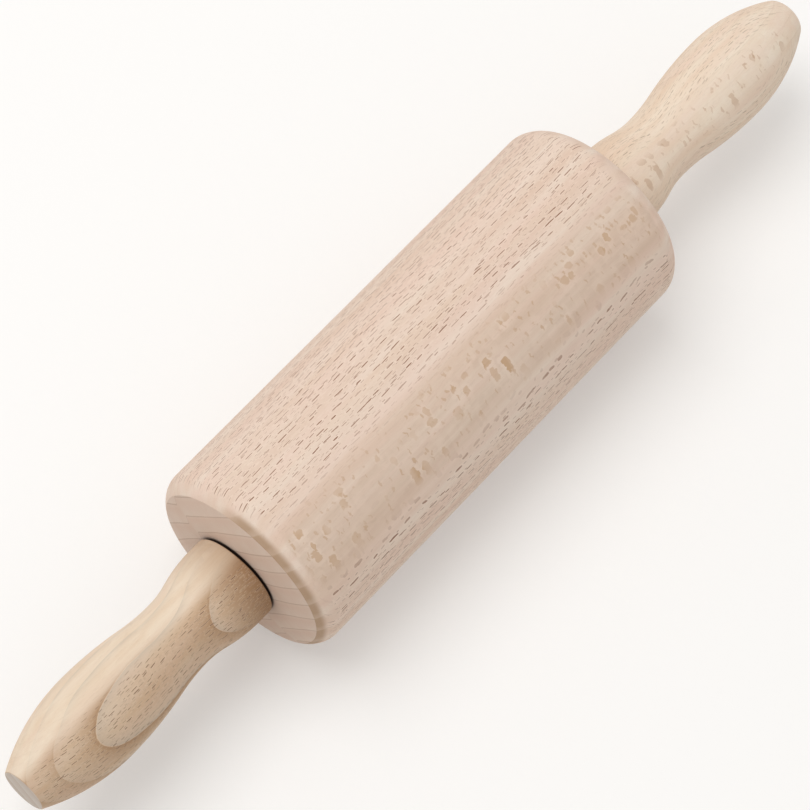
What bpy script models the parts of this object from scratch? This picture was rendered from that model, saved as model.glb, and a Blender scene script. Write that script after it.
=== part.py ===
# Small beech rolling pin: a barrel that turns on a steel axle between two turned handles.
# The pin lies along X and its barrel rests on the plane Z = 0, with the origin under its middle.
# All lengths are in metres.
from math import acos, asin, atan2, cos, pi, radians, sin, tan

import bmesh
import bpy

# Clearances shared by the fits
glue_gap = 0.0003
running_clearance = 0.0003
end_play = 0.0003

# Barrel: a cylinder with rounded edges and gently domed end faces
barrel_diameter = 0.045
barrel_length = 0.1135
barrel_edge_radius = 0.0053
barrel_edge_width = 0.0024
barrel_dome_rise = 0.001
barrel_land_diameter = 0.022
barrel_bore_room = 0.0012

# Handle: collar, waist, belly and a tip that is cut off flat
handle_gap = 0.0005
handle_length = 0.0613
handle_collar_diameter = 0.0198
handle_collar_length = 0.0035
handle_waist_diameter = 0.0162
handle_belly_diameter = 0.0205
handle_tip_diameter = 0.0104
handle_edge_radius = 0.0005
waist_place_share = 0.28
belly_place_share = 0.66
collar_arc_share = 0.6
belly_arc_share = 0.66

# Axle: a rod with a straight knurl on both ends, glued into blind bores
axle_diameter = 0.006
axle_grip_length = 0.0303
axle_chamfer = 0.0005
knurl_length = 0.024
knurl_depth = 0.0003
knurl_runout = 0.0004
bore_floor_room = 0.002
drill_point_angle = radians(118)

# Bush: a flanged sleeve that lines the bore at each end of the barrel
bush_wall = 0.002
bush_sleeve_length = 0.016
bush_flange_diameter = 0.015
bush_flange_thickness = 0.0012
bush_chamfer = 0.0005

# Washer: a thrust ring between the bush and the handle
washer_diameter = 0.0136
washer_thickness = 0.0007

# Sides of the round pieces, and points on each arc of a turned outline
barrel_sides = 72
handle_sides = 48
rod_sides = 48
ring_sides = 36
edge_points = 7
dome_points = 4
curve_points = 7
tip_points = 10
small_edge_points = 3

# Corners closer than this are one corner, and edges that turn less than this angle look round
weld_distance = 0.000001
smooth_angle = radians(25)

# Radii and places that follow from the sizes above
barrel_radius = barrel_diameter / 2
axle_radius = axle_diameter / 2
bush_bore_radius = axle_radius + running_clearance
bush_sleeve_radius = bush_bore_radius + bush_wall
bush_flange_radius = bush_flange_diameter / 2
handle_start = barrel_length / 2 + handle_gap
washer_start = handle_start - glue_gap - washer_thickness
bush_start = washer_start - end_play - bush_flange_thickness
recess_floor = bush_start - glue_gap
sleeve_seat_floor = bush_start - bush_sleeve_length - glue_gap
axle_half_length = handle_start + axle_grip_length
knurl_stop = axle_half_length - axle_chamfer - knurl_runout
knurl_start = knurl_stop - knurl_length
axis_height = barrel_radius * cos(pi / barrel_sides)


def arc(centre_x, centre_r, radius, start, stop, points):
    """Points of a circular arc in the plane of the outline; angles run from +X towards +R."""
    steps = [start + (stop - start) * i / (points - 1) for i in range(points)]
    return [(centre_x + radius * cos(a), centre_r + radius * sin(a)) for a in steps]


def s_curve(x0, r0, x1, r1, first_share, points):
    """Two tangent arcs that join (x0, r0) to (x1, r1) and run along X at both ends.

    The arcs' radii add up to dx / sin(turn), where the turn of each is twice the chord's slope,
    and first_share says how much of that sum the first arc takes.
    """
    dx, dr = x1 - x0, r1 - r0
    turn = 2 * atan2(abs(dr), dx)
    sum_of_radii = dx / sin(turn)
    first = sum_of_radii * first_share
    second = sum_of_radii - first
    side = 1 if dr < 0 else -1
    up = side * pi / 2
    out = arc(x0, r0 - side * first, first, up, up - side * turn, points)
    back = arc(x1, r1 + side * second, second, -up - side * turn, -up, points)
    return out + back[1:]


def tip_curve(x0, r0, x1, r1, points):
    """One arc that leaves (x0, r0) along X and comes down to (x1, r1)."""
    dx, dr = x1 - x0, r0 - r1
    radius = (dx * dx + dr * dr) / (2 * dr)
    return arc(x0, r0 - radius, radius, pi / 2, pi / 2 - asin(dx / radius), points)


def barrel_end_outline():
    """The right half of the barrel's section, from the bore's middle out and round to its side."""
    half = barrel_length / 2
    bore = axle_radius + barrel_bore_room
    sleeve_seat = bush_sleeve_radius + glue_gap
    recess = bush_flange_radius + glue_gap
    land = barrel_land_diameter / 2
    dome_width = barrel_radius - barrel_edge_width - land
    dome_radius = (dome_width ** 2 + barrel_dome_rise ** 2) / (2 * barrel_dome_rise)
    dome_turn = asin(dome_width / dome_radius)
    dome = arc(half - dome_radius, land, dome_radius, 0, dome_turn, dome_points)
    edge_turn = acos(1 - barrel_edge_width / barrel_edge_radius)
    edge_centre = half - barrel_dome_rise - barrel_edge_radius * sin(edge_turn)
    edge_r = barrel_radius - barrel_edge_radius
    edge = arc(edge_centre, edge_r, barrel_edge_radius, pi / 2 - edge_turn, pi / 2, edge_points)
    inside = [
        (sleeve_seat_floor, bore),
        (sleeve_seat_floor, sleeve_seat),
        (recess_floor, sleeve_seat),
        (recess_floor, recess),
        (half, recess),
    ]
    return inside + dome + edge[1:]


def handle_outline():
    """The handle's section with its inner end at X = 0, from the bore's floor round to the tip."""
    collar = handle_collar_diameter / 2
    waist = handle_waist_diameter / 2
    belly = handle_belly_diameter / 2
    tip = handle_tip_diameter / 2
    bore = axle_radius + glue_gap
    floor = axle_grip_length + bore_floor_room
    drill_point = floor + bore / tan(drill_point_angle / 2)
    waist_x = handle_length * waist_place_share
    belly_x = handle_length * belly_place_share
    corner = handle_edge_radius
    inner_edge = arc(corner, collar - corner, corner, pi, pi / 2, small_edge_points)
    neck = s_curve(handle_collar_length, collar, waist_x, waist, collar_arc_share, curve_points)
    palm = s_curve(waist_x, waist, belly_x, belly, 1 - belly_arc_share, curve_points)
    end = tip_curve(belly_x, belly, handle_length - corner, tip, tip_points)
    slope = atan2(end[-2][1] - end[-1][1], end[-1][0] - end[-2][0])
    outer_edge = arc(
        handle_length - corner,
        tip - corner,
        corner,
        pi / 2 - slope,
        0,
        small_edge_points,
    )
    mouth = [(drill_point, 0), (floor, bore), (0, bore)]
    return mouth + inner_edge + neck + palm[1:] + end[1:-1] + outer_edge + [(handle_length, 0)]


def axle_outline():
    """The whole rod's section, with both ends chamfered and rings where each knurl starts and stops."""
    end = axle_half_length
    half = [
        (knurl_start - knurl_runout, axle_radius),
        (knurl_start, axle_radius),
        (knurl_stop, axle_radius),
        (end - axle_chamfer, axle_radius),
        (end, axle_radius - axle_chamfer),
        (end, 0),
    ]
    return [(-x, r) for x, r in reversed(half)] + half


def bush_outline():
    """The bush's section with its flange's inner face at X = 0 and the sleeve towards -X."""
    c = bush_chamfer
    return [
        (bush_flange_thickness, bush_bore_radius + c),
        (bush_flange_thickness, bush_flange_radius - c),
        (bush_flange_thickness - c, bush_flange_radius),
        (0, bush_flange_radius),
        (0, bush_sleeve_radius),
        (c - bush_sleeve_length, bush_sleeve_radius),
        (-bush_sleeve_length, bush_sleeve_radius - c),
        (-bush_sleeve_length, bush_bore_radius),
        (bush_flange_thickness - c, bush_bore_radius),
    ]


def washer_outline():
    """The washer's section, a plain rectangle that starts at X = 0."""
    bore = axle_radius + glue_gap
    rim = washer_diameter / 2
    return [(0, bore), (0, rim), (washer_thickness, rim), (washer_thickness, bore)]


def turned_mesh(name, outline, sides, closed):
    """Spins an outline of (x, r) points about X. A closed one is a ring, an open one ends on the axis.

    The first side is half a step off, so a flat side and not a corner faces straight down.
    """
    half_step = pi / sides
    bm = bmesh.new()
    verts = [bm.verts.new((x, r * sin(half_step), r * cos(half_step))) for x, r in outline]
    pairs = list(zip(verts, verts[1:]))
    if closed:
        pairs.append((verts[-1], verts[0]))
    edges = [bm.edges.new(pair) for pair in pairs]
    bmesh.ops.spin(
        bm,
        geom=verts + edges,
        cent=(0, 0, 0),
        axis=(1, 0, 0),
        angle=2 * pi,
        steps=sides,
        use_merge=True,
    )
    bmesh.ops.remove_doubles(bm, verts=bm.verts, dist=weld_distance)
    bmesh.ops.recalc_face_normals(bm, faces=bm.faces)
    mesh = bpy.data.meshes.new(name)
    bm.to_mesh(mesh)
    bm.free()
    return mesh


def cut_knurl(mesh):
    """Draws in every second corner of the rings inside each knurl, which leaves a row of straight teeth."""
    tooth = 2 * pi / rod_sides
    root = (axle_radius - knurl_depth) / axle_radius
    margin = knurl_runout / 2
    for vert in mesh.vertices:
        x, y, z = vert.co
        inside = knurl_start - margin < abs(x) < knurl_stop + margin
        step = round(atan2(y, z) / tooth - 0.5)
        if inside and step % 2:
            vert.co = (x, y * root, z * root)


def material(name, colour, roughness, metallic):
    """A plain surface for the model; colour is linear red, green and blue."""
    made = bpy.data.materials.new(name)
    made.use_nodes = True
    shader = made.node_tree.nodes["Principled BSDF"]
    shader.inputs["Base Color"].default_value = (*colour, 1)
    shader.inputs["Roughness"].default_value = roughness
    shader.inputs["Metallic"].default_value = metallic
    made.diffuse_color = (*colour, 1)
    return made


def place(name, mesh, surface, parent, x=0, turned=False):
    """Adds an object on the parent's axis, x along it; turned faces it the other way."""
    piece = bpy.data.objects.new(name, mesh)
    if not mesh.materials:
        mesh.materials.append(surface)
        mesh.shade_smooth()
        mesh.set_sharp_from_angle(angle=smooth_angle)
    bpy.context.scene.collection.objects.link(piece)
    piece.parent = parent
    piece.location = (x, 0, 0)
    piece.rotation_euler = (0, 0, pi if turned else 0)
    return piece


def axis_empty(name):
    """An empty on the pin's axis, which a group of pieces turns about."""
    empty = bpy.data.objects.new(name, None)
    empty.location = (0, 0, axis_height)
    empty.empty_display_size = barrel_radius
    bpy.context.scene.collection.objects.link(empty)
    return empty


def build():
    for old in list(bpy.data.objects):
        bpy.data.objects.remove(old)

    beech = material("fine_sanded_beech", (0.70, 0.53, 0.40), 0.6, 0)
    steel = material("drawn_steel_rod", (0.55, 0.55, 0.56), 0.35, 1)
    nylon = material("natural_nylon", (0.80, 0.78, 0.72), 0.45, 0)

    end = barrel_end_outline()
    barrel = end + [(-x, r) for x, r in reversed(end)]
    meshes = {
        "barrel": turned_mesh("barrel", barrel, barrel_sides, True),
        "bush": turned_mesh("bush", bush_outline(), ring_sides, True),
        "washer": turned_mesh("washer", washer_outline(), ring_sides, True),
        "axle": turned_mesh("axle", axle_outline(), rod_sides, False),
        "handle": turned_mesh("handle", handle_outline(), handle_sides, False),
    }
    cut_knurl(meshes["axle"])

    barrel_axis = axis_empty("barrel_axis")
    place("barrel", meshes["barrel"], beech, barrel_axis)
    axle_axis = axis_empty("axle_axis")
    place("axle", meshes["axle"], steel, axle_axis)
    for side, sign in (("left", -1), ("right", 1)):
        turned = sign < 0
        place(f"bush_{side}", meshes["bush"], nylon, barrel_axis, sign * bush_start, turned)
        place(f"washer_{side}", meshes["washer"], steel, axle_axis, sign * washer_start, turned)
        place(f"handle_{side}", meshes["handle"], beech, axle_axis, sign * handle_start, turned)


build()
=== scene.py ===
# Small rolling pin of unfinished beech, lying on a pale floor under soft light.
# X runs along the pin, from the near handle to the far one. Lengths are in metres, or in the unit that ends
# a name.
from math import acos, asin, atan2, cos, pi, radians, sin, tan

import bpy
import numpy as np
from mathutils import Matrix, Vector


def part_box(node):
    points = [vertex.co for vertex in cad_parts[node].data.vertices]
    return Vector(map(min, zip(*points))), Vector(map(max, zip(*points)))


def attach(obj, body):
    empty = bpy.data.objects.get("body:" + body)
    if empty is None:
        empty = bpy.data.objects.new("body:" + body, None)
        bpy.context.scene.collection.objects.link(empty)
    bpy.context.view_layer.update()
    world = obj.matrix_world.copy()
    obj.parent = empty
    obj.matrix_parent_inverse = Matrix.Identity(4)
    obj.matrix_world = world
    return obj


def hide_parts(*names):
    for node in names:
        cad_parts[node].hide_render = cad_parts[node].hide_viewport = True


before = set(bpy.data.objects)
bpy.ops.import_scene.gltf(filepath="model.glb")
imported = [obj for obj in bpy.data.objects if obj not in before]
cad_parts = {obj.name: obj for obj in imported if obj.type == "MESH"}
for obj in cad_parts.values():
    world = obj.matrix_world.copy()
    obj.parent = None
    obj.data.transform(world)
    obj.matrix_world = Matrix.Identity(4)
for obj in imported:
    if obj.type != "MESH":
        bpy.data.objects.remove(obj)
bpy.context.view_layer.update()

mm = 0.001

# Photograph: how the pin lies in it, and where the middle of its axis is, seen from the camera
image_side_px = 810
focal_length_px = 4039.57
sensor_width_mm = 36.0
lean_away = radians(20.851)
climb = radians(45.493)
middle_right = 3.911 * mm
middle_down = -4.399 * mm
middle_distance = 822.83 * mm

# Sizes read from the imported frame
barrel_low, barrel_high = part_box("barrel")
handle_low, handle_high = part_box("handle_right")
axle_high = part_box("axle")[1]
bush_low, bush_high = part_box("bush_right")
washer_low, washer_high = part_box("washer_right")
axis_height = (barrel_low.z + barrel_high.z) / 2
barrel_radius = (barrel_high.z - barrel_low.z) / 2
barrel_half = barrel_high.x
handle_start = handle_low.x
handle_stop = handle_high.x
belly_radius = (handle_high.z - handle_low.z) / 2

# Clearances shared by the fits
glue_gap = 0.3 * mm
running_clearance = 0.3 * mm

# Barrel
barrel_edge_radius = 5.3 * mm
barrel_edge_width = 2.4 * mm
barrel_dome_rise = 1.0 * mm
barrel_land_radius = 11.0 * mm
barrel_bore_room = 1.2 * mm

# Handle
collar_radius = 9.9 * mm
collar_length = 3.5 * mm
waist_radius = 8.1 * mm
handle_edge_radius = 0.5 * mm
near_tip_edge_radius = 0.5 * mm
near_tip_flat_radius = 4.7 * mm
far_tip_edge_radius = 2.5 * mm
far_tip_flat_radius = 2.9 * mm
waist_place_share = 0.28
belly_place_share = 0.66
collar_arc_share = 0.6
belly_arc_share = 0.66
bore_floor_room = 2.0 * mm
drill_point_angle = radians(118)

# Axle, bush and washer
axle_radius = 3.0 * mm
axle_chamfer = 0.5 * mm
knurl_length = 24.0 * mm
knurl_depth = 0.3 * mm
knurl_runout = 0.4 * mm
knurl_teeth = 24
bush_wall = 2.0 * mm
bush_chamfer = 0.5 * mm
bush_flange_thickness = 1.2 * mm
washer_edge_break = 0.1 * mm

# Hand sanding leaves the wood a few hundredths of a millimetre out of round, in waves along and around it
sanding_wave = 45.0 * mm
barrel_sanding = 0.04 * mm
handle_sanding = 0.06 * mm

# Points round a turned piece, along the barrel's side and on the arcs of an outline
barrel_sides = 360
handle_sides = 240
rod_sides = 192
side_points = 60
long_arc_points = 40
arc_points = 20
short_arc_points = 8
smooth_angle = radians(18)

# Streaks in beech: their length along the grain and widths around the pith and out from it in mm, and the
# values of the noise at which they start and are full. Real fibres are about 0.02 mm wide and pores 0.06 mm,
# but a pixel of the photograph is 0.2 mm, so both are drawn several times as wide. Crowds are where flecks
# gather, and the last pair is the grain and the reach of the noise that makes a fleck ragged.
band_streaks = ((70, 2.6, 5.0), 0.36, 0.64)
blush_streaks = ((45, 4.0, 3.0), 0.42, 0.66)
figure_streaks = ((26, 0.9, 1.6), 0.42, 0.66)
fibre_streaks = ((7.0, 0.32, 0.32), 0.3, 0.7)
pore_streaks = ((1.5, 0.16, 0.16), 0.54, 0.72)
fleck_crowds = ((9, 30, 30), 0.38, 0.58)
fleck_ragged_mm = ((1.1, 1.1, 1.1), (1.6, 0.3, 1.6))

# Growth rings: the width of the step beside a broad ray and its height in years, how fast the years change in
# width, and the shares of a year at which its dark line starts, is full, begins to fade and ends
ring_step_mm = 1.2
ring_step_share = 0.45
ring_change_rate = 0.7
line_start_shares = (0.9, 0.97)
line_end_shares = (0.98, 1.0)

# Rays: how far their points stray in their cells, the least and the further size of a sheet along, around and
# out, the depth of the palest one, and the sums at which a sheet, and the pale rim beside it, start and are
# full; beside a cut dash that rim is a painted highlight. The seeds keep the four kinds apart.
ray_stray_share = 0.9
ray_least_shares = (0.45, 0.6, 0.65)
ray_spread_shares = (0.6, 0.4, 0.4)
palest_ray_share = 0.45
sheet_sums = (1.1, 0.7)
halo_sums = (8.0, 2.0)
broad_seed_mm = 0.0
fine_seed_mm = 31.0
fleck_seed_mm = 57.0
small_seed_mm = 83.0

# Cosines to the pin's axis at which end grain, the rounding beside it and the slope next to that start and
# are full, and those to the rounding's brown side
end_cosines = (0.86, 0.93)
round_cosines = (0.48, 0.72)
slope_cosines = (0.02, 0.15)
brown_cosines = (0.4, 0.62)

# How strongly a colour shows where its pattern is full
blush_share = 0.6
fibre_share = 0.2
pore_share = 0.12
least_figure_share = 0.55
end_late_share = 0.6
brown_late_share = 0.2
least_brown_share = 0.75
fleck_halo_share = 0.25
gap_shade_share = 0.95
highlight_power = 2.0

# Brown by the collar, partly darker wood and partly painted shade where the barrel shades it: how far it
# reaches from the collar, and how much shows off the ray side and on it
collar_brown_and_shade_reach = 13.0 * mm
collar_brown_and_shade_shares = (1.25, 0.7)

# Sanded beech: its roughness from the smoothest fibre to the roughest, and how deep its grain is
wood_roughness = (0.55, 0.68)
dash_depth_share = 0.25
pore_depth_share = 0.2
fibre_depth_share = 0.2
grain_strength = 0.6
grain_depth = 0.04 * mm

# Streaks in steel and nylon, given as those in beech. Drawing scratches are about 0.01 mm wide and moulding
# grit 0.05 mm, too fine to show, so they are drawn at 0.15 mm and 0.25 mm.
steel_scratches = ((12.0, 0.15, 0.15), 0.35, 0.7)
steel_stains = ((9.0, 5.0, 5.0), 0.5, 0.8)
scratch_share = 0.5
stain_share = 0.4
steel_roughness = (0.26, 0.42)
scratch_strength = 0.3
nylon_clouds = ((4.0, 4.0, 4.0), 0.35, 0.7)
nylon_grit = ((0.25, 0.25, 0.25), 0.4, 0.7)
cloud_share = 0.8
nylon_roughness = (0.38, 0.5)
grit_strength = 0.2
fine_depth = 0.01 * mm


def arc(centre_x, centre_r, radius, start, stop, points=arc_points):
    """Points of a circular arc: its centre plus the radius times the cosine and sine of even angles."""
    turn = np.linspace(start, stop, points)
    return np.column_stack((centre_x + radius * np.cos(turn), centre_r + radius * np.sin(turn)))


def s_curve(x0, r0, x1, r1, first_share):
    """Two tangent arcs that run along X at both ends.

    Each turns by twice the chord's slope, and their radii add up to its run over the sine of that turn.
    """
    run, rise = x1 - x0, r1 - r0
    turn = 2 * atan2(abs(rise), run)
    first = run / sin(turn) * first_share
    second = run / sin(turn) - first
    side = 1 if rise < 0 else -1
    up = side * pi / 2
    out = arc(x0, r0 - side * first, first, up, up - side * turn)
    back = arc(x1, r1 + side * second, second, -up - side * turn, -up)
    return np.vstack((out, back[1:]))


def barrel_outline():
    """The barrel's closed section: bore, bush seats, domed end faces, rounded edges and a straight side."""
    bore = axle_radius + barrel_bore_room
    seat = axle_radius + running_clearance + bush_wall + glue_gap
    recess = (bush_high.z - bush_low.z) / 2 + glue_gap
    recess_floor = bush_high.x - bush_flange_thickness - glue_gap
    seat_floor = bush_low.x - glue_gap
    width = barrel_radius - barrel_edge_width - barrel_land_radius
    dome_radius = (width ** 2 + barrel_dome_rise ** 2) / (2 * barrel_dome_rise)
    dome_turn = asin(width / dome_radius)
    dome = arc(barrel_half - dome_radius, barrel_land_radius, dome_radius, 0, dome_turn, long_arc_points)
    turn = acos(1 - barrel_edge_width / barrel_edge_radius)
    centre_x = barrel_half - barrel_dome_rise - barrel_edge_radius * sin(turn)
    centre_r = barrel_radius - barrel_edge_radius
    edge = arc(centre_x, centre_r, barrel_edge_radius, pi / 2 - turn, pi / 2)
    inside = [(seat_floor, bore), (seat_floor, seat), (recess_floor, seat), (recess_floor, recess)]
    half = np.vstack((inside, [(barrel_half, recess)], dome, edge[1:]))
    along = np.linspace(centre_x, -centre_x, side_points)[1:-1]
    side = np.column_stack((along, np.full(len(along), barrel_radius)))
    return np.vstack((half, side, half[::-1] * (-1, 1)))


def handle_outline(tip_edge, tip_flat):
    """The handle's open section: blind bore, inner face, collar, waist, belly and a tip cut off flat.

    The belly's arc and the tip's small one touch: their centres are as far apart as their radii differ.
    """
    length = handle_stop - handle_start
    bore = axle_radius + glue_gap
    floor = axle_high.x + bore_floor_room
    point = floor + bore / tan(drill_point_angle / 2)
    waist_x = handle_start + length * waist_place_share
    belly_x = handle_start + length * belly_place_share
    corner = handle_edge_radius
    rim = arc(handle_start + corner, collar_radius - corner, corner, pi, pi / 2, short_arc_points)
    neck = s_curve(handle_start + collar_length, collar_radius, waist_x, waist_radius, collar_arc_share)
    palm = s_curve(waist_x, waist_radius, belly_x, belly_radius, 1 - belly_arc_share)
    run, drop = handle_stop - tip_edge - belly_x, belly_radius - tip_flat
    end_radius = (run ** 2 + drop ** 2 - tip_edge ** 2) / (2 * (drop - tip_edge))
    slope = asin(run / (end_radius - tip_edge))
    end = arc(belly_x, belly_radius - end_radius, end_radius, pi / 2, pi / 2 - slope, long_arc_points)
    lip = arc(handle_stop - tip_edge, tip_flat, tip_edge, pi / 2 - slope, 0)[1:]
    mouth = [(point, 0), (floor, bore), (handle_start, bore)]
    return np.vstack((mouth, rim, neck, palm[1:], end[1:], lip, [(handle_stop, 0)]))


def axle_outline():
    """The rod's open section, with chamfered ends and a ring where each knurl starts and stops."""
    stop = axle_high.x
    knurl_stop = stop - axle_chamfer - knurl_runout
    knurl_start = knurl_stop - knurl_length
    places = [knurl_start - knurl_runout, knurl_start, knurl_stop, knurl_stop + knurl_runout]
    half = np.array([(x, axle_radius) for x in places] + [(stop, axle_radius - axle_chamfer), (stop, 0)])
    return np.vstack((half[::-1] * (-1, 1), half))


def bush_outline():
    """The bush's closed section: a sleeve, and a flange at its outer end."""
    bore = axle_radius + running_clearance
    sleeve = bore + bush_wall
    flange = (bush_high.z - bush_low.z) / 2
    start, stop = bush_low.x, bush_high.x
    inner = stop - bush_flange_thickness
    c = bush_chamfer
    return np.array([
        (stop, bore + c), (stop, flange - c), (stop - c, flange), (inner, flange), (inner, sleeve),
        (start + c, sleeve), (start, sleeve - c), (start, bore), (stop - c, bore),
    ])


def washer_outline():
    """The washer's closed section: a rectangle with the edges of its rim broken."""
    bore = axle_radius + glue_gap
    rim = (washer_high.z - washer_low.z) / 2
    start, stop = washer_low.x, washer_high.x
    b = washer_edge_break
    return np.array([
        (start, bore), (start, rim - b), (start + b, rim), (stop - b, rim), (stop, rim - b), (stop, bore),
    ])


def sanded(amount):
    """Makes the relief of hand-sanded wood, which is never round to the last hundredth.

    A sine wave that winds along X is multiplied by a cosine with two waves round the axis. A cosine with
    three waves round the axis, which drifts along X, is added. A quarter of the sum, less a half, runs from
    -1 to 0, so all of it is cut inwards.
    """
    def relief(x, angle):
        along = np.sin(x * 2 * pi / sanding_wave + angle) * np.cos(2 * angle + 1)
        around = np.cos(3 * angle + x * pi / sanding_wave)
        return amount * ((along + around) / 4 - 0.5)
    return relief


def knurled(x, angle):
    """The relief of a straight knurl, where X lies within either one, and 0 elsewhere.

    It is half the depth times a value from -2 to 0, the cosine of the angle times the tooth count, less 1.
    """
    stop = axle_high.x - axle_chamfer - knurl_runout
    from_middle = abs(abs(x) - (stop - knurl_length / 2))
    inside = from_middle < (knurl_length + knurl_runout) / 2
    return inside * knurl_depth * (np.cos(knurl_teeth * angle) - 1) / 2


def turned(name, outline, sides, closed, surface, relief=None):
    """Turns an outline of (x, r) points about the pin's axis into a mesh object.

    Point (i, j) lies at x_i, and across X at r_i plus the relief, times the sine and cosine of angle j.
    A closed outline makes a ring. An open one starts and ends on the axis, where one vertex closes it with a
    fan of triangles. The outline is run so that its signed area is negative, so every face looks outwards.
    """
    x, r = outline.T
    if np.sum(x * np.roll(r, -1) - np.roll(x, -1) * r) > 0:
        outline = outline[::-1]
    circles = outline if closed else outline[1:-1]
    count = len(circles)
    angle = np.arange(sides) * (2 * pi / sides)
    x = np.repeat(circles[:, :1], sides, axis=1)
    r = circles[:, 1:] + (relief(x, angle) if relief else 0)
    points = np.stack((x, r * np.sin(angle), r * np.cos(angle) + axis_height), axis=2).reshape(-1, 3)
    row = np.arange(count if closed else count - 1)[:, None] * sides
    after = (row + sides) % (count * sides)
    here = np.arange(sides)
    beside = (here + 1) % sides
    corners = (row + here, after + here, after + beside, row + beside)
    faces = np.stack(corners, axis=2).reshape(-1, 4).tolist()
    if not closed:
        first = len(points)
        end = first - sides
        tips = np.zeros((2, 3))
        tips[:, 0] = outline[[0, -1], 0]
        tips[:, 2] = axis_height
        points = np.vstack((points, tips))
        faces += np.column_stack((np.full(sides, first), here, beside)).tolist()
        faces += np.column_stack((end + beside, end + here, np.full(sides, first + 1))).tolist()
    mesh = bpy.data.meshes.new(name)
    mesh.from_pydata(points, [], faces)
    mesh.shade_smooth()
    mesh.set_sharp_from_angle(angle=smooth_angle)
    mesh.materials.append(surface)
    piece = bpy.data.objects.new(name, mesh)
    bpy.context.scene.collection.objects.link(piece)
    return piece


def linear(code):
    """Turns an sRGB hex colour into linear red, green, blue and alpha."""
    parts = [int(code[i:i + 2], 16) / 255 for i in (1, 3, 5)]
    return tuple(c / 12.92 if c <= 0.04045 else ((c + 0.055) / 1.055) ** 2.4 for c in parts) + (1.0,)


def add(tree, kind, inputs, **options):
    """Adds a node with its options, and sets or links its inputs by name or number."""
    made = tree.nodes.new(kind)
    for key, value in options.items():
        setattr(made, key, value)
    for key, value in inputs.items():
        if isinstance(value, bpy.types.NodeSocket):
            tree.links.new(value, made.inputs[key])
        else:
            made.inputs[key].default_value = value
    return made


def new_material(name, inputs):
    """A material of one Principled BSDF, with its uniform values on the shader's own sockets."""
    material = bpy.data.materials.new(name)
    material.use_nodes = True
    tree = material.node_tree
    tree.nodes.clear()
    shader = add(tree, "ShaderNodeBsdfPrincipled", inputs)
    add(tree, "ShaderNodeOutputMaterial", {"Surface": shader.outputs["BSDF"]})
    return material, tree, shader


def tint(tree, colour, towards, share, most_share):
    """Mixes a colour towards a hex colour by a share, at most so far."""
    part = add(tree, "ShaderNodeMath", {0: share, 1: most_share}, operation="MULTIPLY", use_clamp=True)
    mixed = add(tree, "ShaderNodeMix", {
        "Factor": part.outputs[0], 6: colour, 7: linear(towards),
    }, data_type="RGBA")
    return mixed.outputs[2]


def wander(tree, place, stretch_mm, reach_mm):
    """Moves a place by soft noise of the given grain, by up to the reach in each direction."""
    cells = add(tree, "ShaderNodeVectorMath", {0: place, 1: stretch_mm}, operation="DIVIDE")
    noise = add(tree, "ShaderNodeTexNoise", {
        "Vector": cells.outputs[0], "Scale": 1.0, "Detail": 2.0, "Roughness": 0.5,
    })
    moved = add(tree, "ShaderNodeVectorMath", {
        0: noise.outputs["Color"], 1: reach_mm, 2: place,
    }, operation="MULTIPLY_ADD")
    return moved.outputs[0]


def streaks(tree, place, stretch_mm, low, high):
    """Soft noise drawn out by a stretch in mm, 0 at its low value and 1 at its high one."""
    cells = add(tree, "ShaderNodeVectorMath", {0: place, 1: stretch_mm}, operation="DIVIDE")
    noise = add(tree, "ShaderNodeTexNoise", {
        "Vector": cells.outputs[0], "Scale": 1.0, "Detail": 3.0, "Roughness": 0.55,
    })
    share = add(tree, "ShaderNodeMapRange", {"Value": noise.outputs[0], "From Min": low, "From Max": high})
    return share.outputs[0]


def facing(tree, normal, direction, low, high, both=True):
    """How far the surface looks along a direction, or also against it.

    The share is the cosine between them, smoothly brought to 0 at the low value and to 1 at the high one.
    """
    along = add(tree, "ShaderNodeVectorMath", {0: normal, 1: direction}, operation="DOT_PRODUCT")
    cosine = along.outputs["Value"]
    if both:
        cosine = add(tree, "ShaderNodeMath", {0: cosine}, operation="ABSOLUTE").outputs[0]
    share = add(tree, "ShaderNodeMapRange", {
        "Value": cosine, "From Min": low, "From Max": high,
    }, interpolation_type="SMOOTHSTEP")
    return share.outputs[0]


def close_by(tree, here, axes, near, far):
    """1 at points less than near away from the axis or from the middle plane across it, and 0 beyond far."""
    part = add(tree, "ShaderNodeVectorMath", {0: here, 1: (0, 0, axis_height)}, operation="SUBTRACT")
    flat = add(tree, "ShaderNodeVectorMath", {0: part.outputs[0], 1: axes}, operation="MULTIPLY")
    away = add(tree, "ShaderNodeVectorMath", {0: flat.outputs[0]}, operation="LENGTH")
    share = add(tree, "ShaderNodeMapRange", {
        "Value": away.outputs["Value"], "From Min": far, "From Max": near,
    }, interpolation_type="SMOOTHSTEP")
    return share.outputs[0]


def wood_place(tree, here, look):
    """Wood coordinates in mm: X along the grain, and across it the pith at Y = Z = 0 with the bark at +Z.

    The pin is turned about X until its bark side is up, and its axis then lies straight above the pith. Each
    layer of noise bends the grain a little.
    """
    turn = look["bark_turn"]
    height = axis_height / mm
    grain = add(tree, "ShaderNodeMapping", {
        "Vector": here,
        "Location": (look["along_mm"], height * sin(turn), look["pith_mm"] - height * cos(turn)),
        "Rotation": (turn, 0, 0),
        "Scale": (1 / mm, 1 / mm, 1 / mm),
    }).outputs["Vector"]
    for stretch_mm, reach_mm in look["wander_mm"]:
        grain = wander(tree, grain, stretch_mm, (0, reach_mm, reach_mm))
    return grain


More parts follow.
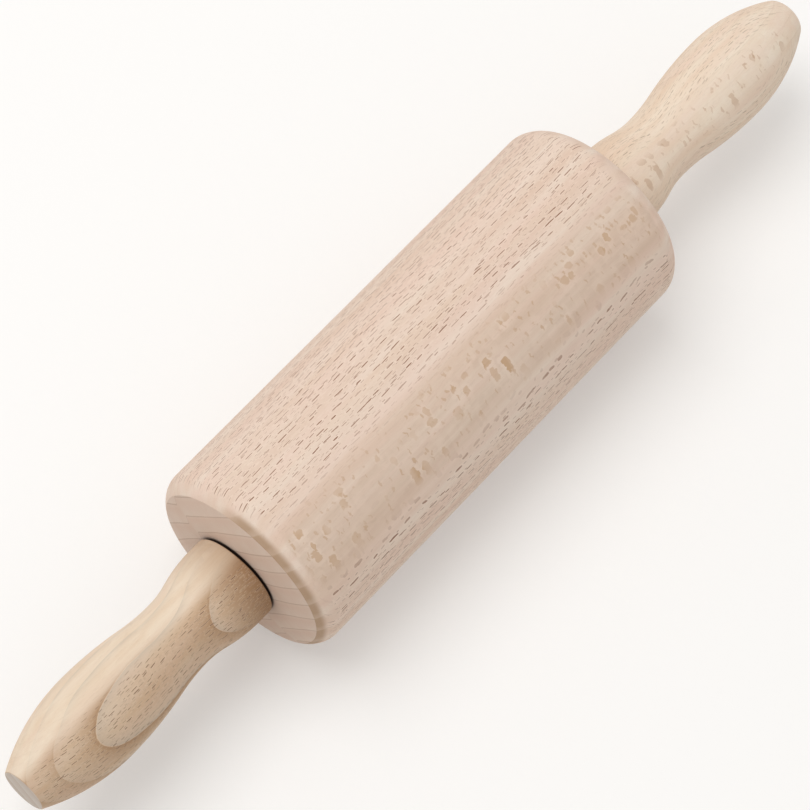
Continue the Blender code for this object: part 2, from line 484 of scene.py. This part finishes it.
def along_around_out(tree, grain, pith_mm):
    """Millimetres along the grain, around the pith and out from it, as three sockets."""
    part = add(tree, "ShaderNodeSeparateXYZ", {"Vector": grain})
    across = add(tree, "ShaderNodeVectorMath", {0: grain, 1: (0, 1, 1)}, operation="MULTIPLY")
    out = add(tree, "ShaderNodeVectorMath", {0: across.outputs[0]}, operation="LENGTH")
    angle = add(tree, "ShaderNodeMath", {0: part.outputs["Y"], 1: part.outputs["Z"]}, operation="ARCTAN2")
    around = add(tree, "ShaderNodeMath", {0: angle.outputs[0], 1: pith_mm}, operation="MULTIPLY")
    return part.outputs["X"], around.outputs[0], out.outputs["Value"]


def growth_rings(tree, along, around, out, look):
    """Growth rings: how late in the year the wood is, how early, and the thin dark line that ends each year.

    A year is a whole ring further out. The lean adds some of the way along, for wood cut at a slant to the
    rings, and on one side of a broad ray the rings sit nearly half a year further out.
    """
    ring, shift, step_at = look["ring_mm"], look["ring_shift_mm"], look["step_at_mm"]
    step = add(tree, "ShaderNodeMapRange", {
        "Value": around, "From Min": step_at, "From Max": step_at + ring_step_mm,
        "To Min": shift, "To Max": shift + ring * ring_step_share,
    }, interpolation_type="SMOOTHSTEP")
    slanted = add(tree, "ShaderNodeMath", {0: along, 1: look["ring_lean"], 2: out}, operation="MULTIPLY_ADD")
    shifted = add(tree, "ShaderNodeMath", {0: slanted.outputs[0], 1: step.outputs[0]}, operation="ADD")
    years = add(tree, "ShaderNodeMath", {0: shifted.outputs[0], 1: ring}, operation="DIVIDE")
    uneven = add(tree, "ShaderNodeTexNoise", {
        "W": years.outputs[0], "Scale": ring_change_rate, "Detail": 1.0,
    }, noise_dimensions="1D")
    moved = add(tree, "ShaderNodeMath", {
        0: uneven.outputs[0], 1: look["ring_uneven_share"], 2: years.outputs[0],
    }, operation="MULTIPLY_ADD")
    age = add(tree, "ShaderNodeMath", {0: moved.outputs[0]}, operation="FRACT").outputs[0]
    young = add(tree, "ShaderNodeMath", {0: 1.0, 1: age}, operation="SUBTRACT")
    early = add(tree, "ShaderNodeMath", {0: young.outputs[0], 1: look["early_power"]}, operation="POWER")
    late = add(tree, "ShaderNodeMath", {0: age, 1: look["late_power"]}, operation="POWER")
    close = add(tree, "ShaderNodeMapRange", {
        "Value": age, "From Min": look["late_end_share"], "From Max": 1.0, "To Min": 1.0, "To Max": 0.0,
    })
    late = add(tree, "ShaderNodeMath", {0: late.outputs[0], 1: close.outputs[0]}, operation="MULTIPLY")
    start, full = line_start_shares
    rise = add(tree, "ShaderNodeMapRange", {
        "Value": age, "From Min": start, "From Max": full,
    }, interpolation_type="SMOOTHSTEP")
    fade, end = line_end_shares
    fall = add(tree, "ShaderNodeMapRange", {
        "Value": age, "From Min": fade, "From Max": end, "To Min": 1.0, "To Max": 0.0,
    })
    line = add(tree, "ShaderNodeMath", {0: rise.outputs[0], 1: fall.outputs[0]}, operation="MULTIPLY")
    return late.outputs[0], early.outputs[0], line.outputs[0]


def shown_rings(tree, here, rings, ray_face, look):
    """The growth rings as far as they show: less by the collar and the tip, and less along the rays."""
    late, early, line = rings
    before_tip = close_by(tree, here, (1, 0, 0), *look["rings_fade_out"])
    by_collar = close_by(tree, here, (1, 0, 0), *look["rings_fade_in"])
    clear = add(tree, "ShaderNodeMath", {0: before_tip, 1: by_collar}, operation="SUBTRACT")
    ring_share = add(tree, "ShaderNodeMapRange", {
        "Value": clear.outputs[0], "To Min": look["faint_ring_share"], "To Max": 1.0,
    }).outputs[0]
    calm = add(tree, "ShaderNodeMapRange", {
        "Value": ray_face, "To Min": 1.0, "To Max": look["calm_share"],
    }).outputs[0]
    early = add(tree, "ShaderNodeMath", {0: early, 1: ring_share}, operation="MULTIPLY")
    late = add(tree, "ShaderNodeMix", {"Factor": ring_share, 2: look["mean_late_share"], 3: late})
    late = add(tree, "ShaderNodeMath", {0: late.outputs[0], 1: calm}, operation="MULTIPLY")
    line = add(tree, "ShaderNodeMath", {0: line, 1: ring_share}, operation="MULTIPLY")
    line = add(tree, "ShaderNodeMath", {0: line.outputs[0], 1: calm}, operation="MULTIPLY")
    return late.outputs[0], early.outputs[0], line.outputs[0]


def rays(tree, place, sheet_mm, seed_mm):
    """Medullary rays: in each cell one upright sheet, thin around, long outwards and a few mm along.

    A sheet is where a sum is under 1: its cell's own point is away by some of its half sizes, and the fourth
    powers of those along and out add to the square of the one around. So its ends are nearly straight. Each
    sheet has its own length, width and depth of colour. The pale rim on both sides of it is the second value:
    beside a cut dash it is a painted highlight, and beside a fleck it is paler wood.
    """
    cell_mm, half_mm = sheet_mm
    moved = add(tree, "ShaderNodeVectorMath", {0: place, 1: (seed_mm, seed_mm, 0)}, operation="ADD")
    cells = add(tree, "ShaderNodeVectorMath", {0: moved.outputs[0], 1: cell_mm}, operation="DIVIDE")
    points = add(tree, "ShaderNodeTexVoronoi", {
        "Vector": cells.outputs[0], "Scale": 1.0, "Randomness": ray_stray_share,
    })
    away = add(tree, "ShaderNodeVectorMath", {
        0: cells.outputs[0], 1: points.outputs["Position"],
    }, operation="SUBTRACT")
    sized = add(tree, "ShaderNodeVectorMath", {
        0: away.outputs[0], 1: tuple(c / h for c, h in zip(cell_mm, half_mm)),
    }, operation="MULTIPLY")
    chance = points.outputs["Color"]
    size_shares = add(tree, "ShaderNodeVectorMath", {
        0: chance, 1: ray_spread_shares, 2: ray_least_shares,
    }, operation="MULTIPLY_ADD")
    own = add(tree, "ShaderNodeVectorMath", {
        0: sized.outputs[0], 1: size_shares.outputs[0],
    }, operation="DIVIDE").outputs[0]
    square = add(tree, "ShaderNodeVectorMath", {0: own, 1: own}, operation="MULTIPLY").outputs[0]
    fourth = add(tree, "ShaderNodeVectorMath", {0: square, 1: square}, operation="MULTIPLY").outputs[0]
    thin = add(tree, "ShaderNodeVectorMath", {0: square, 1: (0, 1, 0)}, operation="DOT_PRODUCT")
    tall = add(tree, "ShaderNodeVectorMath", {0: fourth, 1: (1, 0, 1)}, operation="DOT_PRODUCT")
    far = add(tree, "ShaderNodeMath", {0: thin.outputs["Value"], 1: tall.outputs["Value"]}, operation="ADD")
    hue = add(tree, "ShaderNodeSeparateColor", {"Color": chance})
    depth = add(tree, "ShaderNodeMapRange", {
        "Value": hue.outputs[2], "To Min": palest_ray_share, "To Max": 1.0,
    })
    shown = []
    for nothing, full in (sheet_sums, halo_sums):
        inside = add(tree, "ShaderNodeMapRange", {
            "Value": far.outputs[0], "From Min": nothing, "From Max": full,
        }, interpolation_type="SMOOTHSTEP")
        deep = add(tree, "ShaderNodeMath", {0: inside.outputs[0], 1: depth.outputs[0]}, operation="MULTIPLY")
        shown.append(deep.outputs[0])
    return shown


def wood_faces(tree, normal, look):
    """How far each face of the wood shows, by the way that the surface looks.

    ray: the surface runs along the rays, which are broad flecks there. fleck: the same, within closer limits.
    end: end grain. beside_end: the rounding next to it. brown: the side on which that rounding is brown.
    cut: the surface cuts the rays, which are dashes there, and isn't the end or close to it.
    """
    both = look["both_sides"]
    turn = look["bark_turn"]
    along_ray = (0, cos(turn), -sin(turn))
    pin_axis = (1, 0, 0)
    across = add(tree, "ShaderNodeVectorMath", {0: normal, 1: (0, 1, 1)}, operation="MULTIPLY")
    outward = add(tree, "ShaderNodeVectorMath", {0: across.outputs[0]}, operation="NORMALIZE").outputs[0]
    ray = facing(tree, normal, along_ray, *look["on_ray_cosines"], both)
    fleck = facing(tree, normal, along_ray, *look["fleck_cosines"], both)
    end = facing(tree, normal, pin_axis, *end_cosines)
    rounded = facing(tree, normal, pin_axis, *round_cosines)
    beside_end = add(tree, "ShaderNodeMath", {0: rounded, 1: end}, operation="SUBTRACT", use_clamp=True)
    brown = facing(tree, normal, look["round_side"], *brown_cosines, both=False)

    fading = facing(tree, outward, along_ray, *look["fade_cosines"], both)
    near_ray = facing(tree, outward, along_ray, *look["bend_cosines"], both)
    on_bend = facing(tree, normal, pin_axis, *slope_cosines)
    bent = add(tree, "ShaderNodeMath", {0: near_ray, 1: on_bend}, operation="MULTIPLY")
    fading = add(tree, "ShaderNodeMath", {0: fading, 1: bent.outputs[0]}, operation="MAXIMUM")
    dashed = add(tree, "ShaderNodeMapRange", {
        "Value": fading.outputs[0], "To Min": 1.0, "To Max": look["on_ray_share"],
    })
    on_edge = facing(tree, normal, pin_axis, *look["edge_cosines"])
    off_end = add(tree, "ShaderNodeMapRange", {"Value": on_edge, "To Min": 1.0, "To Max": 0.0})
    cut = add(tree, "ShaderNodeMath", {0: dashed.outputs[0], 1: off_end.outputs[0]}, operation="MULTIPLY")
    return {
        "ray": ray, "fleck": fleck, "end": end, "beside_end": beside_end.outputs[0], "brown": brown,
        "cut": cut.outputs[0],
    }


def side_grain(tree, place, fibres, pores, rings, faces, look):
    """The wood's colour without its rays: bands, blush, fibres, early and late wood, pores and ray faces."""
    late, early, _ = rings
    colour = linear(look["pale"])
    colour = tint(tree, colour, look["deep"], streaks(tree, place, *band_streaks), 1.0)
    colour = tint(tree, colour, look["blush"], streaks(tree, place, *blush_streaks), blush_share)
    colour = tint(tree, colour, look["deep"], fibres, fibre_share)
    colour = tint(tree, colour, look["early"], early, look["early_share"])
    colour = tint(tree, colour, look["late"], late, look["late_share"])
    colour = tint(tree, colour, look["line"], pores, pore_share)
    figure = streaks(tree, place, *figure_streaks)
    drawn = add(tree, "ShaderNodeMapRange", {"Value": figure, "To Min": least_figure_share, "To Max": 1.0})
    ray_side = add(tree, "ShaderNodeMath", {0: drawn.outputs[0], 1: faces["ray"]}, operation="MULTIPLY")
    return tint(tree, colour, look["ray_side"], ray_side.outputs[0], look["ray_side_share"])


def end_grain(tree, colour, rings, faces, look):
    """Adds what the ends show: greyer wood, clear ring lines, and the brown band on the rounding."""
    late, _, line = rings
    end = faces["end"]
    colour = tint(tree, colour, look["end"], end, look["end_share"])
    line_share = add(tree, "ShaderNodeMapRange", {
        "Value": end, "To Min": look["line_share"], "To Max": look["end_line_share"],
    })
    ring_line = add(tree, "ShaderNodeMath", {0: line, 1: line_share.outputs[0]}, operation="MULTIPLY")
    colour = tint(tree, colour, look["line"], ring_line.outputs[0], 1.0)
    end_late = add(tree, "ShaderNodeMath", {0: late, 1: end}, operation="MULTIPLY")
    colour = tint(tree, colour, look["late"], end_late.outputs[0], end_late_share)
    aged = add(tree, "ShaderNodeMapRange", {
        "Value": late, "From Max": brown_late_share, "To Min": least_brown_share, "To Max": 1.0,
    })
    browned = add(tree, "ShaderNodeMath", {0: faces["beside_end"], 1: aged.outputs[0]}, operation="MULTIPLY")
    banded = add(tree, "ShaderNodeMath", {0: browned.outputs[0], 1: faces["brown"]}, operation="MULTIPLY")
    return tint(tree, colour, look["round"], banded.outputs[0], look["round_share"])


def collar_brown_and_shade(tree, colour, here, faces, look):
    """Adds brown by the collar, partly darker wood and partly painted shade where the barrel shades it, with
    less of it where the surface runs along the rays, which on the near handle is its upper, lit side.
    """
    near = close_by(tree, here, (1, 0, 0), handle_start, handle_start + collar_brown_and_shade_reach)
    most, least = collar_brown_and_shade_shares
    lower_side_share = add(tree, "ShaderNodeMapRange", {"Value": faces["ray"], "To Min": most, "To Max": least})
    collar_mask = add(tree, "ShaderNodeMath", {0: near, 1: lower_side_share.outputs[0]}, operation="MULTIPLY")
    return tint(tree, colour, look["collar_brown_and_shade"], collar_mask.outputs[0], look["collar_brown_and_shade_share"])


def ray_flecks(tree, colour, place, faces, look):
    """Adds the rays that are seen from their side: ragged brown flecks, in crowds, with small ones around."""
    ragged = wander(tree, place, *fleck_ragged_mm)
    fleck, fleck_halo = rays(tree, ragged, look["fleck_sheet_mm"], fleck_seed_mm)
    small_fleck, _ = rays(tree, ragged, look["small_sheet_mm"], small_seed_mm)
    crowded = add(tree, "ShaderNodeMapRange", {
        "Value": streaks(tree, place, *fleck_crowds), "To Min": look["lone_share"], "To Max": 1.0,
    })
    here_share = add(tree, "ShaderNodeMath", {
        0: crowded.outputs[0], 1: faces["fleck"],
    }, operation="MULTIPLY").outputs[0]
    paler = add(tree, "ShaderNodeMath", {0: fleck_halo, 1: here_share}, operation="MULTIPLY")
    colour = tint(tree, colour, look["halo"], paler.outputs[0], fleck_halo_share)
    small = add(tree, "ShaderNodeMath", {0: small_fleck, 1: faces["ray"]}, operation="MULTIPLY")
    colour = tint(tree, colour, look["fleck"], small.outputs[0], look["small_share"])
    large = add(tree, "ShaderNodeMath", {0: fleck, 1: here_share}, operation="MULTIPLY")
    return tint(tree, colour, look["fleck"], large.outputs[0], look["fleck_share"])


def ray_dashes(tree, colour, broad_rays, fine_rays, cut, look):
    """Adds the rays that are cut across: long dark dashes, short faint ones, and beside both a pale rim that
    is a painted highlight.
    """
    broad, broad_highlight = broad_rays
    fine, fine_highlight = fine_rays
    beside = add(tree, "ShaderNodeMath", {0: broad_highlight, 1: fine_highlight}, operation="MAXIMUM")
    off_ray = add(tree, "ShaderNodeMath", {0: cut, 1: highlight_power}, operation="POWER")
    halo = add(tree, "ShaderNodeMath", {0: beside.outputs[0], 1: off_ray.outputs[0]}, operation="MULTIPLY")
    # Painted highlight: a pale rim beside each dash and speck, where the edge of a sunken dash would catch
    # the light.
    colour = tint(tree, colour, look["halo"], halo.outputs[0], look["halo_share"])
    specks = add(tree, "ShaderNodeMath", {0: fine, 1: cut}, operation="MULTIPLY")
    colour = tint(tree, colour, look["dash"], specks.outputs[0], look["speck_share"])
    dashes = add(tree, "ShaderNodeMath", {0: broad, 1: cut}, operation="MULTIPLY")
    return tint(tree, colour, look["dash"], dashes.outputs[0], look["dash_share"])


def open_grain(tree, dashes, pores, fibres):
    """A bump that sinks the dashes, pores and fibres by shares of its depth."""
    sunken = add(tree, "ShaderNodeMath", {0: dashes, 1: dash_depth_share}, operation="MULTIPLY")
    depth = sunken.outputs[0]
    for pattern, share in ((pores, pore_depth_share), (fibres, fibre_depth_share)):
        deeper = add(tree, "ShaderNodeMath", {0: pattern, 1: share, 2: depth}, operation="MULTIPLY_ADD")
        depth = deeper.outputs[0]
    bump = add(tree, "ShaderNodeBump", {
        "Height": depth, "Strength": grain_strength, "Distance": grain_depth,
    }, invert=True)
    return bump.outputs[0]


def beech(name, look):
    """Unfinished beech, turned and fine sanded: matt, pale and warm, with dark dashes where its rays end.

    The figure is a solid one, so a dash on one side is a broad pale fleck where the surface runs along the
    ray.
    """
    material, tree, shader = new_material(name, {"IOR": 1.5, "Specular IOR Level": 0.35})
    source = add(tree, "ShaderNodeTexCoord", {})
    here = source.outputs["Object"]
    grain = wood_place(tree, here, look)
    along, around, out = along_around_out(tree, grain, look["pith_mm"])
    place = add(tree, "ShaderNodeCombineXYZ", {"X": along, "Y": around, "Z": out}).outputs[0]
    faces = wood_faces(tree, source.outputs["Normal"], look)
    rings = growth_rings(tree, along, around, out, look)
    rings = shown_rings(tree, here, rings, faces["ray"], look)
    fibres = streaks(tree, place, *fibre_streaks)
    pores = streaks(tree, place, *pore_streaks)
    broad_rays = rays(tree, place, look["broad_sheet_mm"], broad_seed_mm)
    fine_rays = rays(tree, place, look["fine_sheet_mm"], fine_seed_mm)

    colour = side_grain(tree, place, fibres, pores, rings, faces, look)
    colour = end_grain(tree, colour, rings, faces, look)
    # Painted shade: the collar is darkened next to the barrel and more on the handle's lower side, together
    # with its darker wood.
    colour = collar_brown_and_shade(tree, colour, here, faces, look)
    colour = ray_flecks(tree, colour, place, faces, look)
    colour = ray_dashes(tree, colour, broad_rays, fine_rays, faces["cut"], look)
    # Painted shade: the barrel's end face close to the axis and the handle's inner end face are darkened
    # nearly black, where the narrow gap between them lies in shade.
    gap_shade_mask = close_by(tree, here, look["gap_shade_axes"], look["gap_shade_near"], look["gap_shade_far"])
    colour = tint(tree, colour, look["gap_shade"], gap_shade_mask, gap_shade_share)
    tree.links.new(colour, shader.inputs["Base Color"])

    smoothest, roughest = wood_roughness
    roughness = add(tree, "ShaderNodeMapRange", {"Value": fibres, "To Min": smoothest, "To Max": roughest})
    tree.links.new(roughness.outputs[0], shader.inputs["Roughness"])
    tree.links.new(open_grain(tree, broad_rays[0], pores, fibres), shader.inputs["Normal"])
    return material


def drawn_steel(name):
    """Bright drawn mild steel: grey, with fine scratches along the rod that stretch its highlights."""
    material, tree, shader = new_material(name, {"Metallic": 1.0})
    source = add(tree, "ShaderNodeTexCoord", {})
    place = add(tree, "ShaderNodeMapping", {"Vector": source.outputs["Object"], "Scale": (1 / mm,) * 3})
    scratches = streaks(tree, place.outputs[0], *steel_scratches)
    stain = streaks(tree, place.outputs[0], *steel_stains)
    colour = tint(tree, linear("#C3C4C6"), "#9A9B9E", scratches, scratch_share)
    colour = tint(tree, colour, "#8C8377", stain, stain_share)
    tree.links.new(colour, shader.inputs["Base Color"])
    smoothest, roughest = steel_roughness
    roughness = add(tree, "ShaderNodeMapRange", {"Value": scratches, "To Min": smoothest, "To Max": roughest})
    tree.links.new(roughness.outputs[0], shader.inputs["Roughness"])
    bump = add(tree, "ShaderNodeBump", {
        "Height": scratches, "Strength": scratch_strength, "Distance": fine_depth,
    })
    tree.links.new(bump.outputs[0], shader.inputs["Normal"])
    return material


def moulded_nylon(name):
    """Moulded natural nylon: ivory and slightly waxy, with a faint cloudiness inside."""
    material, tree, shader = new_material(name, {
        "IOR": 1.53, "Subsurface Weight": 0.15, "Subsurface Scale": 1 * mm,
    })
    source = add(tree, "ShaderNodeTexCoord", {})
    place = add(tree, "ShaderNodeMapping", {"Vector": source.outputs["Object"], "Scale": (1 / mm,) * 3})
    clouds = streaks(tree, place.outputs[0], *nylon_clouds)
    grit = streaks(tree, place.outputs[0], *nylon_grit)
    colour = tint(tree, linear("#E9E4D6"), "#DCD4C0", clouds, cloud_share)
    tree.links.new(colour, shader.inputs["Base Color"])
    smoothest, roughest = nylon_roughness
    roughness = add(tree, "ShaderNodeMapRange", {"Value": grit, "To Min": smoothest, "To Max": roughest})
    tree.links.new(roughness.outputs[0], shader.inputs["Roughness"])
    bump = add(tree, "ShaderNodeBump", {"Height": grit, "Strength": grit_strength, "Distance": fine_depth})
    tree.links.new(bump.outputs[0], shader.inputs["Normal"])
    return material


# Looks of the three wooden pieces, each cut from its own place in a tree: so far along it, so far from its
# pith, and with its bark side turned so far from upright. A sheet is a kind of ray: the cell that holds one,
# and half its size, along the grain, around the pith and out from it. The wander is the grain of each layer
# of noise and its reach. Cosines are those at which a face starts to show and shows fully. A share of 0
# leaves its colour out. What the pieces have in common comes first.
plain_beech = {
    "wander_mm": [((60, 30, 30), 3.0), ((9, 12, 12), 0.5), ((1.2, 0.8, 1.6), 0.08)],
    "broad_sheet_mm": ((3.0, 1.0, 12.0), (1.4, 0.08, 9.0)),
    "fine_sheet_mm": ((1.8, 0.6, 6.0), (0.7, 0.052, 4.0)),
    "fleck_sheet_mm": ((3.0, 2.2, 6.5), (1.05, 0.5, 3.4)),
    "small_sheet_mm": ((1.5, 1.3, 2.4), (0.32, 0.35, 0.85)),
    "fleck_cosines": (0.945, 0.985), "edge_cosines": (0.3, 0.65), "both_sides": True,
    "round_side": (-0.45, -0.82, 0.36), "early_power": 2.5,
    "rings_fade_in": (0, 1 * mm), "rings_fade_out": (119 * mm, 120 * mm),
    # The near-black brown below is painted shade for the narrow gap between the barrel and each handle.
    "faint_ring_share": 1.0, "mean_late_share": 0.5, "lone_share": 0.15, "gap_shade": "#2E160A",
}
# Barrel: pale pinkish wood, dark dashes on its upper side, a row of brown flecks on the lower one, and faint
# ring lines on its ends with a brown band beside them
barrel_look = {
    **plain_beech,
    "along_mm": 300.0, "pith_mm": 75.0, "bark_turn": radians(50.8),
    "ring_mm": 4.3, "ring_shift_mm": 2.1, "ring_lean": 0.0, "ring_uneven_share": 0.15, "step_at_mm": 3.6,
    "late_power": 1.5, "late_end_share": 0.72, "late_share": 0.4, "early_share": 0.0,
    "line_share": 0.03, "end_line_share": 0.5, "end_share": 0.6, "round_share": 0.82, "calm_share": 1.0,
    "on_ray_cosines": (0.92, 0.98), "fade_cosines": (0.85, 0.965), "bend_cosines": (0.7, 0.88),
    "ray_side_share": 0.5, "fleck_share": 0.9, "on_ray_share": 0.06, "dash_share": 0.9, "speck_share": 0.6,
    "small_share": 0.6, "halo_share": 0.4, "collar_brown_and_shade_share": 0.0,
    "pale": "#F0DECD", "deep": "#E6CCB7", "blush": "#EBCDBC", "late": "#D9B7A2", "early": "#EBDCCB",
    "line": "#A98468", "end": "#D9C4B4", "round": "#AD8C6C", "ray_side": "#CDB49C", "fleck": "#C6A27E",
    "dash": "#7E4926", "halo": "#F8E2CF", "collar_brown_and_shade": "#C9A68A",
    # Painted shade in the gap by each handle: the end face within 9.1 mm of the axis is darkened, fading out
    # by 9.95 mm.
    "gap_shade_axes": (0, 1, 1), "gap_shade_near": 9.1 * mm, "gap_shade_far": 9.95 * mm,
}
# Both handles: shorter and finer dashes than the barrel's, and no brown band beside their ends
handle_look = {
    **plain_beech,
    "pith_mm": 60.0, "ring_mm": 3.6, "ring_uneven_share": 0.0, "step_at_mm": 30.0, "late_end_share": 0.98,
    "broad_sheet_mm": ((2.2, 0.8, 12.0), (0.85, 0.065, 9.0)),
    "fine_sheet_mm": ((1.6, 0.55, 6.0), (0.6, 0.045, 4.0)),
    "fleck_cosines": (0.9, 0.97), "bend_cosines": (0.99, 1.0), "edge_cosines": (0.35, 0.6),
    "halo_share": 0.3, "round_share": 0.0, "end_line_share": 0.4,
    "halo": "#E9D3B8", "line": "#94704F", "round": "#B4926F", "collar_brown_and_shade": "#9C7856",
    # Painted shade in the gap: the handle's inner end face and the first 0.3 mm of its rim are darkened.
    "gap_shade_axes": (1, 0, 0), "gap_shade_near": handle_start + 0.1 * mm, "gap_shade_far": handle_start + 0.3 * mm,
}
# Near handle: cut at a slant to the rings, so their edges are nested ovals with brown late wood on the side
# with dashes, and the other side is pale and plain. Its collar is browner, partly darker wood and partly
# painted shade next to the barrel and on its lower side.
near_look = {
    **handle_look,
    "along_mm": 520.0, "bark_turn": radians(-45.3), "ring_lean": 0.15, "ring_shift_mm": -1.0,
    "rings_fade_in": (63 * mm, 73 * mm), "rings_fade_out": (99 * mm, 111 * mm), "faint_ring_share": 0.35,
    "late_power": 1.1, "late_share": 0.95, "early_power": 4.5, "early_share": 0.9, "line_share": 0.2,
    "on_ray_cosines": (0.45, 0.8), "fade_cosines": (0.4, 0.7), "both_sides": False, "calm_share": 0.1,
    "ray_side_share": 0.5, "fleck_share": 0.2, "on_ray_share": 0.05, "collar_brown_and_shade_share": 0.75, "end_share": 0.9,
    "dash_share": 1.0, "speck_share": 0.5, "small_share": 0.0,
    "pale": "#EFDAC2", "deep": "#E4C7A8", "blush": "#E8C8B0", "late": "#AE8863", "early": "#C3B09B",
    "end": "#DFD9D2", "ray_side": "#F7E8D2", "fleck": "#E2C7A6", "dash": "#643C22",
}
# Far handle: the palest wood, with hardly any rings, faint dashes and a few tan flecks
far_look = {
    **handle_look,
    "along_mm": 760.0, "bark_turn": radians(54.0), "ring_lean": 0.03, "ring_shift_mm": 0.7,
    "fleck_sheet_mm": ((3.4, 1.7, 6.5), (1.2, 0.42, 3.2)),
    "late_power": 2.2, "late_share": 0.15, "early_share": 0.0, "line_share": 0.05, "calm_share": 0.5,
    "on_ray_cosines": (0.88, 0.97), "fade_cosines": (0.78, 0.96),
    "ray_side_share": 0.3, "fleck_share": 0.9, "on_ray_share": 0.06, "collar_brown_and_shade_share": 0.05, "end_share": 0.6,
    "dash_share": 0.48, "speck_share": 0.28, "small_share": 0.5, "lone_share": 0.8,
    "pale": "#F5E5D1", "deep": "#ECD2B9", "blush": "#EED2BF", "late": "#D9BB9E", "early": "#CDBBA8",
    "end": "#E6D6C6", "ray_side": "#F3E4D2", "fleck": "#C9A78A", "dash": "#7A5A44",
}

barrel_beech = beech("fine_sanded_beech_barrel", barrel_look)
near_beech = beech("fine_sanded_beech_near_handle", near_look)
far_beech = beech("fine_sanded_beech_far_handle", far_look)
steel = drawn_steel("drawn_mild_steel")
nylon = moulded_nylon("moulded_natural_nylon")


def fit(piece, body, node):
    """Puts a piece in place of a CAD node, on its body, and hides the node."""
    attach(piece, body)
    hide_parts(node)


barrel = turned("beech_barrel", barrel_outline(), barrel_sides, True, barrel_beech, sanded(barrel_sanding))
fit(barrel, "barrel", "barrel")
axle = turned("steel_axle", axle_outline(), rod_sides, False, steel, knurled)
fit(axle, "handles", "axle")
near_handle = handle_outline(near_tip_edge_radius, near_tip_flat_radius)
far_handle = handle_outline(far_tip_edge_radius, far_tip_flat_radius)
for side, sign, outline, wood in (("left", -1, near_handle, near_beech), ("right", 1, far_handle, far_beech)):
    handle = turned(
        f"beech_handle_{side}", outline * (sign, 1), handle_sides, False, wood, sanded(handle_sanding),
    )
    fit(handle, "handles", f"handle_{side}")
    bush = turned(f"nylon_bush_{side}", bush_outline() * (sign, 1), rod_sides, True, nylon)
    fit(bush, "barrel", f"bush_{side}")
    washer = turned(f"steel_washer_{side}", washer_outline() * (sign, 1), rod_sides, True, steel)
    fit(washer, "handles", f"washer_{side}")


def seen_share(tree):
    """1 for rays that show a surface as it is, straight, mirrored or through glass, and 0 for its light."""
    path = add(tree, "ShaderNodeLightPath", {})
    mirrored = add(tree, "ShaderNodeMath", {
        0: path.outputs["Is Camera Ray"], 1: path.outputs["Is Glossy Ray"],
    }, operation="MAXIMUM")
    share = add(tree, "ShaderNodeMath", {
        0: mirrored.outputs[0], 1: path.outputs["Is Transmission Ray"],
    }, operation="MAXIMUM")
    return share.outputs[0]


# Floor: pale matt board that shows almost white and keeps the shadow
floor_half = 3.0
floor_glow = 0.24
floor_paint, floor_tree, floor_shader = new_material("matt_white_board", {
    "Base Color": linear("#E4E2DF"), "Roughness": 0.9, "Specular IOR Level": 0.1,
    "Emission Color": linear("#FFFFFF"),
})
glow = add(floor_tree, "ShaderNodeMath", {0: seen_share(floor_tree), 1: floor_glow}, operation="MULTIPLY")
floor_tree.links.new(glow.outputs[0], floor_shader.inputs["Emission Strength"])
floor_mesh = bpy.data.meshes.new("floor")
floor_corners = [(-floor_half, -floor_half, 0), (floor_half, -floor_half, 0),
                 (floor_half, floor_half, 0), (-floor_half, floor_half, 0)]
floor_mesh.from_pydata(floor_corners, [], [(0, 1, 2, 3)])
floor_mesh.materials.append(floor_paint)
floor = bpy.data.objects.new("floor", floor_mesh)
bpy.context.scene.collection.objects.link(floor)

# Light: a white room, and a large soft lamp overhead that leans to the far side of the pin
room_strength = 0.6
lamp_power_w = 7.6
lamp_side = 1.0
lamp_distance = 1.3
lamp_direction = Vector((-0.12, 0.28, 0.95)).normalized()
world = bpy.data.worlds.new("white_room")
world.use_nodes = True
world_tree = world.node_tree
world_tree.nodes.clear()
strength = add(world_tree, "ShaderNodeMapRange", {"Value": seen_share(world_tree), "To Min": room_strength})
room = add(world_tree, "ShaderNodeBackground", {"Color": linear("#FFFFFF"), "Strength": strength.outputs[0]})
add(world_tree, "ShaderNodeOutputWorld", {"Surface": room.outputs[0]})
bpy.context.scene.world = world

middle = Vector((0, 0, axis_height))
lamp_data = bpy.data.lights.new("soft_lamp", "AREA")
lamp_data.energy = lamp_power_w
lamp_data.size = lamp_side
lamp = bpy.data.objects.new("soft_lamp", lamp_data)
lamp.location = middle + lamp_direction * lamp_distance
lamp.rotation_euler = lamp_direction.to_track_quat("Z", "Y").to_euler()
bpy.context.scene.collection.objects.link(lamp)

# Camera: level, above the near end, and looking down at the pin so that it climbs to the right
heading = asin(cos(lean_away) * cos(climb))
dip = acos(sin(lean_away) / cos(heading))
right = Vector((sin(heading), -cos(heading), 0))
forward = Vector((cos(heading) * cos(dip), sin(heading) * cos(dip), -sin(dip)))
up = right.cross(forward)
camera_data = bpy.data.cameras.new("camera")
camera_data.sensor_width = sensor_width_mm
camera_data.lens = sensor_width_mm * focal_length_px / image_side_px
camera = bpy.data.objects.new("camera", camera_data)
place = middle - right * middle_right + up * middle_down - forward * middle_distance
camera.matrix_world = Matrix.Translation(place) @ Matrix((right, up, -forward)).transposed().to_4x4()
bpy.context.scene.collection.objects.link(camera)
bpy.context.scene.camera = camera
bpy.context.scene.view_settings.view_transform = "Standard"
